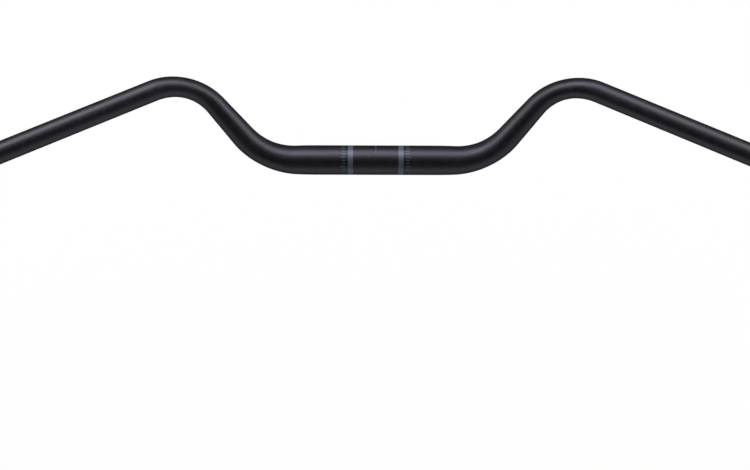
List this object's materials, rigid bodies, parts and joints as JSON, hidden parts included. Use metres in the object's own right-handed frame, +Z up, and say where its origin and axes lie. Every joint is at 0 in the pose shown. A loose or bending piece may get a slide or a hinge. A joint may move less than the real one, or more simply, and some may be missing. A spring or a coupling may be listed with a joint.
{
  "type": "riser handlebar",
  "caption": "Swept-back riser handlebar for a bicycle: a bent, tapered and butted aluminium tube with a stem clamp seat in the middle and open ends for grips.",
  "frame": {"origin": "centre of the stem clamp's seat, on its axis", "axes": "+X along the bar to the rider's right, +Y forwards, +Z up"},
  "size_m": [0.8098, 0.1172, 0.1093],
  "materials": {
    "anodised_aluminium": "black anodised, bead blasted to a satin grain, with fine grey printed bands at the clamp"
  },
  "bodies": {
    "root": {"handlebar": "anodised_aluminium"}
  },
  "joints": []
}
